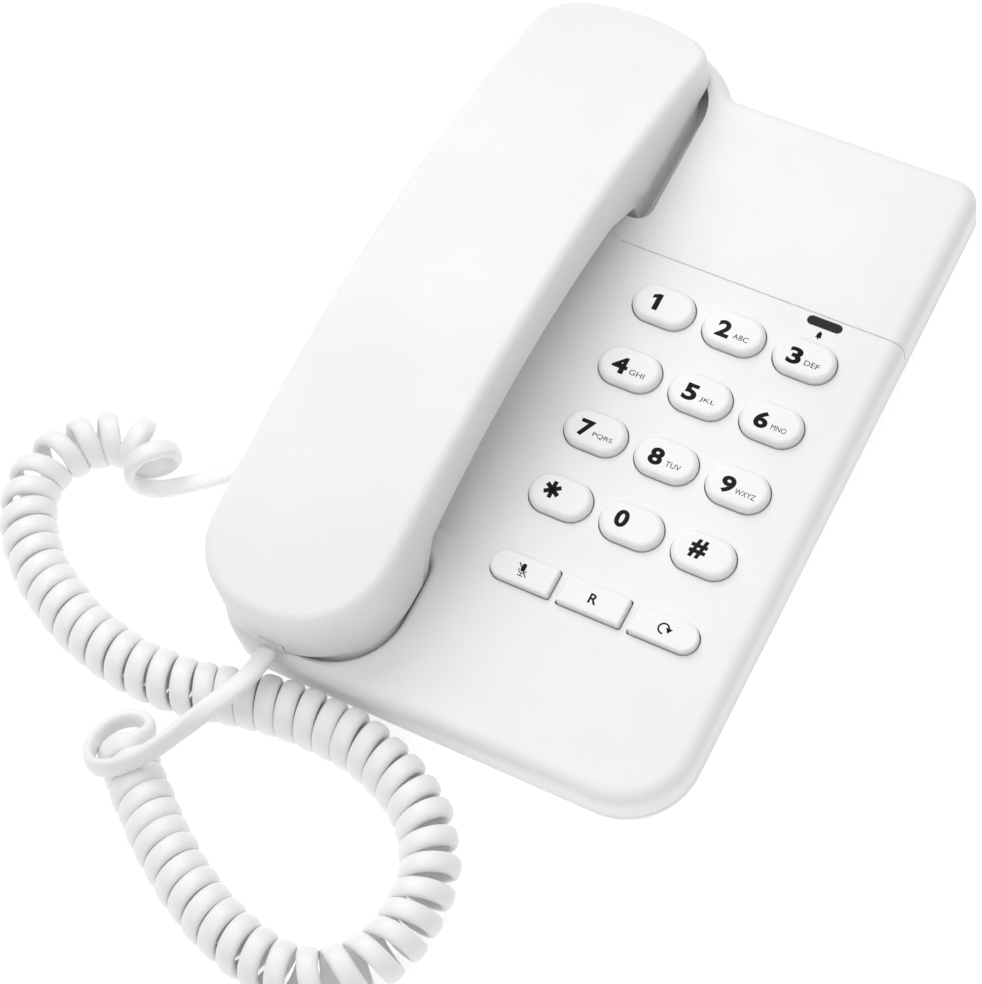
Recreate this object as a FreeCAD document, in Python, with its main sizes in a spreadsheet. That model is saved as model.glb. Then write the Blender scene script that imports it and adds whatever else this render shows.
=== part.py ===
import FreeCAD, Part
import math
import os
import Sketcher

# A corded desk phone: a wedge-shaped base with a keypad, a handset in two wells along its left
# side, and a curly cord between them.
#
# Two frames are used.  The world frame has +Z up from the table, +Y to the back of the phone and
# its origin under the middle of the phone.  The deck frame is the keypad surface: its origin is
# the middle of the keypad, X runs to the right, Y to the back and Z square to the deck.  The deck
# leans back, so a sub-part drawn in it gets DECK as its Placement.

Vector = FreeCAD.Vector
doc = FreeCAD.newDocument("DeskPhone")

DIMENSIONS = [
    # the deck frame in the world
    ("deck_tilt", 8.0), ("deck_x", 24.35), ("deck_y", -5.6), ("deck_rise", 30.0),
    # housings, in the deck frame
    ("base_left", -90.0), ("base_right", 41.4), ("base_front", -98.6), ("base_rear", 96.4),
    ("cradle_rear", 108.4), ("cradle_right", -26.5), ("rim_depth", 10.0), ("wall", 2.2),
    ("round_front_left", 20.0), ("round_front_right", 19.0), ("round_rear", 7.5),
    ("round_cradle", 28.5), ("round_cradle_left", 24.0), ("round_join", 4.0), ("top_round", 4.0),
    ("shut_gap", 0.3), ("lip_depth", 1.5),
    ("tub_left", -82.0), ("tub_right", 29.4), ("tub_front", -88.0), ("tub_rear", 84.0),
    ("tub_round", 12.0), ("tub_depth", 45.0), ("foot_depth", 1.5),
    ("crease_y", 44.0), ("crease_width", 0.5), ("crease_depth", 0.45), ("crease_drop", 7.0),
    # wells for the handset
    ("well_left", -87.9), ("ear_right", -35.6), ("ear_front", 51.5), ("ear_rear", 102.0),
    ("ear_depth", 8.2), ("ear_round", 4.5), ("ear_round_hidden", 2.5),
    ("ear_round_rear", 16.0), ("ear_round_left", 16.0),
    ("mouth_right", -41.5), ("mouth_front", -94.4), ("mouth_rear", -57.0), ("mouth_depth", 4.6),
    ("mouth_round", 18.5), ("mouth_round_rear", 6.0), ("well_block_left", -89.5),
    ("mouth_edge_round", 2.2), ("scoop_radius", 52.8), ("scoop_depth", 4.8),
    ("scoop_front", -50.0), ("scoop_rear", 45.0), ("scoop_shoulder", 25.0),
    ("scoop_half", 26.9), ("scoop_meet", 18.26), ("scoop_meet_depth", 1.54),
    # keypad
    ("key_pitch", 20.0), ("key_length", 17.0), ("key_height", 11.0), ("key_proud", 2.3),
    ("key_gap", 0.35), ("key_below", 3.8), ("flange_extra", 1.0), ("flange_thick", 1.2),
    ("key_round", 1.5), ("bar_x", 0.5), ("bar_y", -52.4), ("bar_pitch", 19.8), ("bar_length", 17.6),
    ("bar_height", 8.0), ("bar_proud", 2.0), ("bar_end", 3.9), ("bar_corner", 0.8),
    ("bar_round", 0.7),
    ("ring_x", 20.2), ("ring_y", 41.9), ("ring_length", 9.8), ("ring_height", 2.8),
    # inside the base
    ("board_left", -33.5), ("board_right", 33.5), ("board_front", -65.0), ("board_rear", 47.0),
    ("board_top", -6.8), ("board_thick", 1.6), ("membrane_side", 31.0),
    ("membrane_front", -58.0), ("membrane_rear", 38.0), ("membrane_thick", 1.2),
    ("post_radius", 2.0), ("boss_radius", 3.2), ("boss_foot", -12.0), ("tower_radius", 4.2),
    ("screw_radius", 1.5), ("screw_head", 2.9), ("screw_seat", -16.3), ("screw_head_thick", 1.8),
    # handset
    ("hand_x", -64.5), ("hand_width", 51.0), ("hand_front", -96.3), ("hand_rear", 107.2),
    ("hand_left_front", -90.7), ("hand_left_rear", -88.3), ("hand_right_front", -41.3),
    ("hand_right_rear", -38.6), ("hand_round_left", 18.5), ("hand_round_right", 25.0),
    ("hand_round_rear", 10.0), ("hand_round_rear_left", 14.0), ("bow_x", -62.5),
    ("bow_radius", 48.0), ("arch_y", -15.0), ("arch_top", 31.5), ("arch_radius", 320.0),
    ("hand_round", 3.0), ("hand_wall", 2.2), ("hand_edge", 1.0), ("grip_radius", 185.0),
    ("belly_radius", 210.0), ("block_left", -87.4), ("block_right_front", -42.6),
    ("block_right_rear", -38.9), ("block_front", -93.0), ("block_rear", 101.4),
    ("block_round_front", 17.0), ("block_round_rear", 13.0),
    ("ear_block_low", -7.9), ("mouth_block_low", -4.3),
    # cord
    ("lead_diameter", 4.5), ("coil_diameter", 15.5),
]

sheet = doc.addObject("Spreadsheet::Sheet", "dims")
sheet.Label = "dims"
for row, (alias, number) in enumerate(DIMENSIONS, start=1):
    sheet.set("A%d" % row, alias)
    sheet.set("B%d" % row, str(number))
    sheet.setAlias("B%d" % row, alias)
doc.recompute()


def size(text):
    """The value of a dimension, or of a sum of dimensions such as 'wall + 1'."""
    return float(sheet.evalExpression(in_sheet(text)))


def in_sheet(text):
    """The same words as an expression that any object can use: each alias gets 'dims.' first."""
    words = text.replace("(", " ( ").replace(")", " ) ").split()
    return " ".join("dims." + word if word[0].isalpha() else word for word in words)


DECK_TURN = FreeCAD.Rotation(Vector(1, 0, 0), size("deck_tilt"))
DECK_PLACE = Vector(size("deck_x"), size("deck_y"), size("deck_rise"))
DECK = FreeCAD.Placement(DECK_PLACE, DECK_TURN)

parts = {}


def finish(label, obj, placement=DECK):
    """Names a finished sub-part, seats it in the world and lists it for export."""
    if obj.TypeId in ("Part::Box", "Part::Cylinder"):
        obj = grouped(label, [obj])
    obj.Label = label
    obj.Placement = placement
    parts[label] = obj
    return obj


# ---------------------------------------------------------------- sketches and features

def settle(feature):
    """Recomputes and stops at once if the new object could not be made."""
    doc.recompute()
    if not feature.isValid() or feature.Shape.isNull():
        raise RuntimeError("%s could not be made" % feature.Name)
    return feature


def new_body(name):
    return doc.addObject("PartDesign::Body", name)


def new_sketch(body, role, offset="0"):
    """A sketch on one of the body's origin planes, moved along that plane's normal."""
    sketch = body.newObject("Sketcher::SketchObject", body.Name + "_sketch")
    plane = [item for item in body.Origin.OriginFeatures if item.Role == role][0]
    sketch.AttachmentSupport = (plane, "")
    sketch.MapMode = "FlatFace"
    sketch.setExpression("AttachmentOffset.Base.z", in_sheet(offset))
    return sketch


def bind_point(sketch, geometry, point, across, up):
    """Holds one point of the sketch at two expressions."""
    here = sketch.getPoint(geometry, point)
    for kind, text, value in (("DistanceX", across, here.x), ("DistanceY", up, here.y)):
        index = sketch.addConstraint(Sketcher.Constraint(kind, -1, 1, geometry, point, value))
        sketch.setExpression("Constraints[%d]" % index, in_sheet(text))


def bind_radius(sketch, geometry, text):
    index = sketch.addConstraint(Sketcher.Constraint("Radius", geometry, size(text)))
    sketch.setExpression("Constraints[%d]" % index, in_sheet(text))


def outline(sketch, corners):
    """A closed outline.  A corner is (across, up), or (across, up, radius, side) where an arc
    leads to the next corner; side is 1 where the arc bulges up and -1 where it bulges down."""
    first = sketch.GeometryCount
    count = len(corners)
    spots = [Vector(size(corner[0]), size(corner[1]), 0) for corner in corners]
    ends = []
    for index, corner in enumerate(corners):
        start, end = spots[index], spots[(index + 1) % count]
        if len(corner) == 2:
            sketch.addGeometry(Part.LineSegment(start, end), False)
            ends.append((1, 2))
            continue
        half = (end - start).Length / 2
        rise = size(corner[2]) - math.sqrt(size(corner[2]) ** 2 - half ** 2)
        middle = (start + end) / 2 + Vector(0, rise * corner[3], 0)
        number = sketch.addGeometry(Part.Arc(start, middle, end), False)
        starts_here = sketch.getPoint(number, 1).distanceToPoint(start) < 0.001
        ends.append((1, 2) if starts_here else (2, 1))
    for index in range(count):
        after = (index + 1) % count
        sketch.addConstraint(Sketcher.Constraint(
            "Coincident", first + index, ends[index][1], first + after, ends[after][0]))
    for index, corner in enumerate(corners):
        bind_point(sketch, first + index, ends[index][0], corner[0], corner[1])
        if len(corner) > 2:
            bind_radius(sketch, first + index, corner[2])


def rounded(sketch, left, right, low, high, radii):
    """A rectangle with round corners; radii go low left, low right, high right, high left."""
    first = sketch.GeometryCount
    x0, x1, y0, y1 = size(left), size(right), size(low), size(high)
    r = [size(text) for text in radii]
    centres = [(x0 + r[0], y0 + r[0]), (x1 - r[1], y0 + r[1]),
               (x1 - r[2], y1 - r[2]), (x0 + r[3], y1 - r[3])]
    quarter = math.pi / 2
    for index, (x, y) in enumerate(centres):
        circle = Part.Circle(Vector(x, y, 0), Vector(0, 0, 1), r[index])
        start = (index + 2) * quarter
        sketch.addGeometry(Part.ArcOfCircle(circle, start, start + quarter), False)
    sides = [((x0 + r[0], y0), (x1 - r[1], y0)), ((x1, y0 + r[1]), (x1, y1 - r[2])),
             ((x1 - r[2], y1), (x0 + r[3], y1)), ((x0, y1 - r[3]), (x0, y0 + r[0]))]
    for start, end in sides:
        sketch.addGeometry(Part.LineSegment(Vector(*start, 0), Vector(*end, 0)), False)
    for index in range(4):
        side = first + 4 + index
        sketch.addConstraint(Sketcher.Constraint("Tangent", first + index, 2, side, 1))
        sketch.addConstraint(
            Sketcher.Constraint("Tangent", side, 2, first + (index + 1) % 4, 1))
        sketch.addConstraint(
            Sketcher.Constraint("Horizontal" if index % 2 == 0 else "Vertical", side))
        bind_radius(sketch, first + index, radii[index])
    for side, kind, text in ((0, "DistanceY", low), (1, "DistanceX", right),
                             (2, "DistanceY", high), (3, "DistanceX", left)):
        index = sketch.addConstraint(
            Sketcher.Constraint(kind, -1, 1, first + 4 + side, 1, size(text)))
        sketch.setExpression("Constraints[%d]" % index, in_sheet(text))


def stadium(sketch, across, up, length, height):
    """A bar with two half-round ends."""
    first = sketch.GeometryCount
    x, y, radius = size(across), size(up), size(height) / 2
    half = size(length) / 2 - radius
    quarter = math.pi / 2
    for centre, start in ((x + half, -quarter), (x - half, quarter)):
        circle = Part.Circle(Vector(centre, y, 0), Vector(0, 0, 1), radius)
        sketch.addGeometry(Part.ArcOfCircle(circle, start, start + math.pi), False)
    for side in (1, -1):
        start = Vector(x + half * side, y + radius * side, 0)
        end = Vector(x - half * side, y + radius * side, 0)
        sketch.addGeometry(Part.LineSegment(start, end), False)
    right, left, top, bottom = range(first, first + 4)
    for a, b in ((right, top), (top, left), (left, bottom), (bottom, right)):
        sketch.addConstraint(Sketcher.Constraint("Tangent", a, 2, b, 1))
    sketch.addConstraint(Sketcher.Constraint("Equal", right, left))
    bind_radius(sketch, right, "( %s ) / 2" % height)
    reach = "( %s ) / 2 - ( %s ) / 2" % (length, height)
    bind_point(sketch, right, 3, "( %s ) + ( %s )" % (across, reach), up)
    bind_point(sketch, left, 3, "( %s ) - ( %s )" % (across, reach), up)


def disc(sketch, across, up, radius):
    number = sketch.addGeometry(
        Part.Circle(Vector(size(across), size(up), 0), Vector(0, 0, 1), size(radius)), False)
    bind_point(sketch, number, 3, across, up)
    bind_radius(sketch, number, radius)


def pad(body, sketch, length, both_ways=False, down=False):
    feature = body.newObject("PartDesign::Pad", body.Name + "_pad")
    feature.Profile = sketch
    feature.setExpression("Length", in_sheet(length))
    feature.Midplane = both_ways
    feature.Reversed = down
    return settle(feature)


def pocket(body, sketch, length, both_ways=False, up=False):
    """Cuts the sketch's outline away, downwards unless told otherwise."""
    before = body.Shape.Volume
    feature = body.newObject("PartDesign::Pocket", body.Name + "_pocket")
    feature.Profile = sketch
    feature.setExpression("Length", in_sheet(length))
    feature.Midplane = both_ways
    feature.Reversed = up
    settle(feature)
    if body.Shape.Volume > before - 0.1:
        raise RuntimeError("a pocket in %s cuts nothing" % body.Name)
    return feature


def edge_names(shape, wanted):
    return ["Edge%d" % number for number, edge in enumerate(shape.Edges, 1) if wanted(edge)]


def round_edges(body, radius, wanted):
    """Rounds the edges of the body's last feature that the test picks."""
    base = body.Tip
    names = edge_names(base.Shape, wanted)
    if not names:
        raise RuntimeError("no edge to round in %s" % body.Name)
    feature = body.newObject("PartDesign::Fillet", body.Name + "_round")
    feature.Base = (base, names)
    feature.setExpression("Radius", in_sheet(radius))
    return settle(feature)


def flat_at(height):
    """Picks the edges that lie at one height."""
    def test(edge):
        box = edge.BoundBox
        return abs(box.ZMin - height) < 0.01 and abs(box.ZMax - height) < 0.01
    return test


# ---------------------------------------------------------------- primitives and booleans

def block(name, x0, x1, y0, y1, z0, z1):
    """A box from six expressions."""
    box = doc.addObject("Part::Box", name)
    for side, start, end, place in (("Length", x0, x1, "x"), ("Width", y0, y1, "y"),
                                    ("Height", z0, z1, "z")):
        box.setExpression(side, in_sheet("( %s ) - ( %s )" % (end, start)))
        box.setExpression("Placement.Base." + place, in_sheet(start))
    return box


def rod(name, x, y, z0, z1, radius):
    """An upright cylinder from expressions."""
    cylinder = doc.addObject("Part::Cylinder", name)
    cylinder.setExpression("Radius", in_sheet(radius))
    cylinder.setExpression("Height", in_sheet("( %s ) - ( %s )" % (z1, z0)))
    for place, text in (("x", x), ("y", y), ("z", z0)):
        cylinder.setExpression("Placement.Base." + place, in_sheet(text))
    return cylinder


def cut(name, base, tool):
    result = doc.addObject("Part::Cut", name)
    result.Base = base
    result.Tool = tool
    return settle(result)


def common(name, base, tool):
    result = doc.addObject("Part::Common", name)
    result.Base = base
    result.Tool = tool
    return settle(result)


def joined(name, pieces):
    result = doc.addObject("Part::MultiFuse", name)
    result.Shapes = pieces
    return settle(result)


def grouped(name, pieces):
    """Separate solids in one node."""
    result = doc.addObject("Part::Compound", name)
    result.Links = pieces
    return settle(result)


# ---------------------------------------------------------------- shared outlines

def base_outlines(inset):
    """The base seen from above: the main rectangle and the rounder end of the ear cradle."""
    less = " - " + inset
    more = " + " + inset
    main = ("base_left" + more, "base_right" + less, "base_front" + more, "base_rear" + less,
            ["round_front_left" + less, "round_front_right" + less,
             "round_rear" + less, "round_rear" + less])
    cradle = ("base_left" + more, "cradle_right" + less, "ear_front - 10", "cradle_rear" + less,
              ["3", "3", "round_cradle" + less, "round_cradle_left" + less])
    return main, cradle


def well_outlines(grow):
    """The two wells, grown outwards by the same amount all round except at the left wall."""
    left = "well_left" if grow == "0" else "well_block_left"
    more = " + " + grow
    ear = (left, "ear_right" + more, "ear_front - " + grow, "ear_rear" + more,
           ["ear_round_hidden", "ear_round", "ear_round_rear" + more, "ear_round_left"])
    mouth = (left, "mouth_right" + more, "mouth_front - ( %s ) * 0.7" % grow,
             "mouth_rear" + more,
             ["mouth_round", "mouth_round", "mouth_round_rear", "mouth_round_rear"])
    return ear, mouth


SCREW_SPOTS = [("10", "76"), ("10", "-76"), ("-62", "30"), ("-62", "-38")]
POST_SPOTS = [("-31", "44"), ("31", "44"), ("-31", "-62"), ("31", "-62")]
KEY_ROWS = [("key_1", "key_2", "key_3"), ("key_4", "key_5", "key_6"),
            ("key_7", "key_8", "key_9"), ("key_star", "key_0", "key_hash")]
BAR_KEYS = ["key_mute", "key_recall", "key_redial"]


def key_spot(row, column):
    return "key_pitch * %d" % (column - 1), "key_pitch * %.1f" % (1.5 - row)


def bar_outline(column, extra):
    """One of the three function keys: together they make one long bar with round ends."""
    middle = "bar_x + bar_pitch * %d" % (column - 1)
    half = "( bar_length / 2 + %s )" % extra
    ends = "bar_end + " + extra
    left = ends if column == 0 else "bar_corner"
    right = ends if column == 2 else "bar_corner"
    tall = "( bar_height / 2 + %s )" % extra
    return (middle + " - " + half, middle + " + " + half, "bar_y - " + tall, "bar_y + " + tall,
            [left, right, right, left])


# ---------------------------------------------------------------- base

def upper_housing():
    body = new_body("upper_housing")
    for shape in base_outlines("0"):
        sketch = new_sketch(body, "XY_Plane", "0 - rim_depth")
        rounded(sketch, *shape)
        pad(body, sketch, "rim_depth")

    def inner_corner(edge):
        box = edge.BoundBox
        upright = box.ZLength > 5 and box.XLength < 0.01 and box.YLength < 0.01
        return upright and abs(box.YMin - size("base_rear")) < 0.01 and abs(box.XMin + 31) < 6
    round_edges(body, "round_join", inner_corner)
    round_edges(body, "top_round", flat_at(0))

    for shape in base_outlines("wall"):
        sketch = new_sketch(body, "XY_Plane", "0 - rim_depth")
        rounded(sketch, *shape)
        pocket(body, sketch, "rim_depth - wall", up=True)
    depths = ("rim_depth", "mouth_depth + wall")
    for shape, depth in zip(well_outlines("wall"), depths):
        sketch = new_sketch(body, "XY_Plane", "0 - wall")
        rounded(sketch, *shape)
        pad(body, sketch, depth + " - wall", down=True)
    for shape, depth in zip(well_outlines("0"), ("ear_depth", "mouth_depth")):
        sketch = new_sketch(body, "XY_Plane", "1")
        rounded(sketch, *shape)
        pocket(body, sketch, depth + " + 1")

    sketch = new_sketch(body, "XY_Plane", "0 - wall")
    rounded(sketch, "base_left + 1", "mouth_right + 1", "scoop_front - 2", "scoop_rear + 2",
            ["2"] * 4)
    pad(body, sketch, "scoop_depth", down=True)

    sketch = new_sketch(body, "XY_Plane", "1")
    for row, names in enumerate(KEY_ROWS):
        for column in range(len(names)):
            across, up = key_spot(row, column)
            stadium(sketch, across, up, "key_length + key_gap * 2", "key_height + key_gap * 2")
    for column in range(len(BAR_KEYS)):
        rounded(sketch, *bar_outline(column, "key_gap"))
    stadium(sketch, "ring_x", "ring_y", "ring_length", "ring_height")
    pocket(body, sketch, "wall + 2")

    sketch = new_sketch(body, "XZ_Plane", "0 - crease_y")
    outline(sketch, [("ear_right - 4", "0 - crease_depth"),
                     ("base_right - top_round", "0 - crease_depth",
                      "top_round - crease_depth", 1),
                     ("base_right - crease_depth", "0 - top_round"),
                     ("base_right - crease_depth", "0 - crease_drop"),
                     ("base_right + 2", "0 - crease_drop"), ("base_right + 2", "2"),
                     ("ear_right - 4", "2")])
    pocket(body, sketch, "crease_width", both_ways=True)

    sketch = new_sketch(body, "XY_Plane", "0 - wall")
    for x, y in SCREW_SPOTS:
        disc(sketch, x, y, "boss_radius")
    pad(body, sketch, "0 - boss_foot - wall", down=True)
    sketch = new_sketch(body, "XY_Plane", "0 - wall")
    for x, y in POST_SPOTS:
        disc(sketch, x, y, "post_radius")
    pad(body, sketch, "0 - board_top - wall", down=True)
    sketch = new_sketch(body, "XY_Plane", "boss_foot")
    for x, y in SCREW_SPOTS:
        disc(sketch, x, y, "screw_radius")
    pocket(body, sketch, "4.6", up=True)
    sketch = new_sketch(body, "XY_Plane", "0 - ear_depth + 1")
    rounded(sketch, *hook_outline("key_gap"))
    pocket(body, sketch, "wall + 2")
    rimmed = cut("upper_housing_rimmed", body, mouth_rim_cutter())
    finish("upper_housing", cut("upper_housing_scooped", rimmed, scoop_cutter()))


def scoop_cutter():
    """The shallow trough that leaves room for fingers under the grip."""
    body = new_body("scoop")
    sketch = new_sketch(body, "XZ_Plane", "0 - scoop_rear")
    left, right = "hand_x - ", "hand_x + "
    outline(sketch, [(left + "scoop_half", "1"),
                     (left + "scoop_half", "0", "scoop_shoulder", 1),
                     (left + "scoop_meet", "0 - scoop_meet_depth", "scoop_radius", -1),
                     (right + "scoop_meet", "0 - scoop_meet_depth", "scoop_shoulder", 1),
                     (right + "scoop_half", "0"),
                     (right + "scoop_half", "1")])
    pad(body, sketch, "scoop_rear - scoop_front")
    return body


def mouth_rim_cutter():
    """What is cut away to round the rim of the mouthpiece well."""
    body = new_body("mouth_rim")
    left, right, front, rear, radii = well_outlines("0")[1]
    sketch = new_sketch(body, "XY_Plane", "1 - mouth_depth")
    rounded(sketch, left, right, front, rear, radii)
    pad(body, sketch, "mouth_depth - 1")
    more = "mouth_edge_round + 0.4"
    sketch = new_sketch(body, "XY_Plane", "0")
    rounded(sketch, "%s - ( %s )" % (left, more), "%s + %s" % (right, more),
            "%s - ( %s )" % (front, more), "%s + %s" % (rear, more),
            ["%s + %s" % (radius, more) for radius in radii])
    pad(body, sketch, "3")
    low = Vector(size(left) - 0.1, size(front) - 0.1, -0.1)
    high = Vector(size(right) + 0.1, size(rear) + 0.1, 0.1)

    def junction(edge):
        box = edge.BoundBox
        return flat_at(0)(edge) and box.XMin > low.x and box.XMax < high.x \
            and box.YMin > low.y and box.YMax < high.y
    return round_edges(body, "mouth_edge_round", junction).getParentGeoFeatureGroup()


def hook_outline(extra):
    return ("-67 - " + extra, "-57 + " + extra, "60.5 - " + extra, "67.5 + " + extra, ["1"] * 4)


def floor_cutter(name, height):
    """A big level block whose top is the given height above the table, in the deck frame."""
    box = doc.addObject("Part::Box", name)
    box.Length, box.Width, box.Height = 400, 400, 100
    top = size(height)
    level = FreeCAD.Placement(Vector(-200, -200, top - 100), FreeCAD.Rotation())
    box.Placement = DECK.inverse().multiply(level)
    return box


def lower_housing():
    body = new_body("lower_shell")
    for shape in base_outlines("0"):
        sketch = new_sketch(body, "XY_Plane", "0 - rim_depth - shut_gap")
        rounded(sketch, *shape)
        pad(body, sketch, "lip_depth", down=True)
    sketch = new_sketch(body, "XY_Plane", "0 - rim_depth - shut_gap - lip_depth")
    rounded(sketch, "tub_left", "tub_right", "tub_front", "tub_rear", ["tub_round"] * 4)
    pad(body, sketch, "tub_depth", down=True)

    cavity = new_body("lower_cavity")
    sketch = new_sketch(cavity, "XY_Plane", "0 - rim_depth - shut_gap + 1")
    rounded(sketch, "tub_left + wall", "tub_right - wall", "tub_front + wall",
            "tub_rear - wall", ["tub_round - wall"] * 4)
    pad(cavity, sketch, "tub_depth", down=True)
    cavity_low = floor_cutter("floor_inside", "foot_depth + wall")
    cavity_cut = cut("cavity_cut", cavity, cavity_low)
    shell = cut("tub_open", body, cavity_cut)

    towers = [rod("tower", x, y, "0 - tub_depth", "boss_foot - shut_gap", "tower_radius")
              for x, y in SCREW_SPOTS]
    solid = joined("tub_with_towers", [shell] + towers)
    drills = []
    for x, y in SCREW_SPOTS:
        drills.append(rod("clearance", x, y, "screw_seat - 1", "boss_foot + 1",
                          "screw_radius + 0.2"))
        drills.append(rod("counterbore", x, y, "0 - tub_depth - 20", "screw_seat",
                          "screw_head + 0.4"))
    drills.append(block("line_jack_hole", *LINE_JACK))
    drills.append(block("cord_jack_hole", *CORD_JACK))
    drilled = cut("tub_drilled", solid, joined("drills", drills))
    finish("lower_housing", cut("lower_housing", drilled,
                                floor_cutter("floor_outside", "foot_depth")))


# jack bodies in the deck frame: left, right, front, rear, bottom, top
LINE_JACK = ("-27", "-13", "tub_rear - 14", "tub_rear", "-29.5", "-17.5")
CORD_JACK = ("tub_left", "tub_left + 14", "-20", "-8", "-23.1", "-14.1")
PLUG_REACH = "4"


def jacks():
    left, right, front, rear, low, high = LINE_JACK
    shell = block("line_jack_shell", *LINE_JACK)
    socket = block("line_socket", left + " + 2.1", right + " - 2.1", front + " + 2", rear + " + 1",
                   low + " + 2", high + " - 2")
    finish("line_jack", cut("line_jack", shell, socket))
    left, right, front, rear, low, high = CORD_JACK
    shell = block("cord_jack_shell", *CORD_JACK)
    socket = block("cord_socket", left + " - 1", right + " - 2", front + " + 2.5",
                   rear + " - 2.5", low + " + 1", high + " - 1")
    finish("base_cord_jack", cut("base_cord_jack", shell, socket))
    finish("base_plug", block("base_plug", left + " - " + PLUG_REACH, right + " - 3",
                              front + " + 2.7", rear + " - 2.7", low + " + 1.2", high + " - 1.2"))


def screws():
    pieces = []
    for x, y in SCREW_SPOTS:
        head = rod("screw_head", x, y, "screw_seat - screw_head_thick", "screw_seat",
                   "screw_head")
        shank = rod("screw_shank", x, y, "screw_seat", "boss_foot + 4.5", "screw_radius")
        pieces.append(joined("screw", [head, shank]))
    finish("housing_screws", grouped("housing_screws", pieces))
    pieces = [rod("board_screw", x, y, "board_top - board_thick - 1.4",
                  "board_top - board_thick", "post_radius + 0.4") for x, y in POST_SPOTS]
    finish("board_screws", grouped("board_screws", pieces))


def feet():
    """Four rubber discs on the level underside, in the world frame."""
    spots = [("-50", "-80"), ("46", "-80"), ("-50", "75"), ("46", "75")]
    pieces = [rod("foot", x, y, "0", "foot_depth", "6") for x, y in spots]
    finish("rubber_feet", grouped("rubber_feet", pieces), FreeCAD.Placement())


def electronics():
    finish("main_circuit_board", block("main_circuit_board", "board_left", "board_right",
                                       "board_front", "board_rear",
                                       "board_top - board_thick", "board_top"))
    finish("keypad_membrane", block("keypad_membrane", "0 - membrane_side", "membrane_side",
                                    "membrane_front", "membrane_rear", "board_top",
                                    "board_top + membrane_thick"))
    finish("ring_led", rod("ring_led", "ring_x", "ring_y", "board_top", "-2.6", "1.2"))
    body = new_body("ring_lens")
    sketch = new_sketch(body, "XY_Plane", "0 - wall")
    stadium(sketch, "ring_x", "ring_y", "ring_length - 0.2", "ring_height - 0.2")
    pad(body, sketch, "wall - 0.35")
    finish("ring_lens", body)
    finish("piezo_ringer", rod("piezo_ringer", "-17", "70", "-6", "0 - wall", "11"))
    finish("hook_switch", block("hook_switch", "-69", "-55", "58", "70", "-34", "-18.2"))
    finish("ballast_plate", block("ballast_plate", "-15", "35", "15", "60",
                                  "foot_depth + wall", "foot_depth + wall + 3"),
           FreeCAD.Placement())


def hook_button():
    body = new_body("hook_button")
    sketch = new_sketch(body, "XY_Plane", "-17.4")
    rounded(sketch, *hook_outline("0"))
    pad(body, sketch, "17.4 - ear_depth - 0.05")
    sketch = new_sketch(body, "XY_Plane", "-17.4")
    rounded(sketch, *hook_outline("1.5"))
    pad(body, sketch, "1.2")
    finish("hook_button", body)


def keys():
    """Each key is drawn about its own middle and then seated on the deck."""
    for row, names in enumerate(KEY_ROWS):
        for column, name in enumerate(names):
            body = new_body(name)
            sketch = new_sketch(body, "XY_Plane", "0 - key_below")
            stadium(sketch, "0", "0", "key_length", "key_height")
            pad(body, sketch, "key_below + key_proud")
            sketch = new_sketch(body, "XY_Plane", "0 - key_below")
            stadium(sketch, "0", "0", "key_length + flange_extra * 2",
                    "key_height + flange_extra * 2")
            pad(body, sketch, "flange_thick")
            round_edges(body, "key_round", flat_at(size("key_proud")))
            across, up = key_spot(row, column)
            seat = FreeCAD.Placement(Vector(size(across), size(up), 0), FreeCAD.Rotation())
            finish(name, body, DECK.multiply(seat))
    for column, name in enumerate(BAR_KEYS):
        body = new_body(name)
        sketch = new_sketch(body, "XY_Plane", "0 - key_below")
        rounded(sketch, *bar_outline(column, "0"))
        pad(body, sketch, "key_below + bar_proud")
        sketch = new_sketch(body, "XY_Plane", "0 - key_below")
        rounded(sketch, *bar_outline(column, "0.6"))
        pad(body, sketch, "flange_thick")
        round_edges(body, "bar_round", flat_at(size("bar_proud")))
        finish(name, body)


# ---------------------------------------------------------------- handset

# Corners of the side view of the two shells, in the deck frame.
MOUTH_BLOCK_REAR = "-66"
MOUTH_SHOULDER = ("-60", "14.5")
EAR_SHOULDER = ("44", "14")
EAR_SHOULDER_LOW = ("52", "11.5")
EAR_BLOCK_FRONT = "58"

# Plan of each shell: left and right side as front and rear values, then the two ends, then the
# corner radii front left, front right, rear right and rear left.
OUTER_PLAN = (("hand_left_front", "hand_left_rear"), ("hand_right_front", "hand_right_rear"),
              "hand_front", "hand_rear",
              ("hand_round_left", "hand_round_right", "hand_round_rear", "hand_round_rear_left"))
INNER_PLAN = (("block_left", "block_left"), ("block_right_front", "block_right_rear"),
              "block_front", "block_rear",
              ("block_round_front", "block_round_front", "block_round_rear",
               "block_round_rear"))


def upright(edge):
    box = edge.BoundBox
    return box.ZLength > 2 and box.XLength < 0.01 and box.YLength < 0.01


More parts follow.
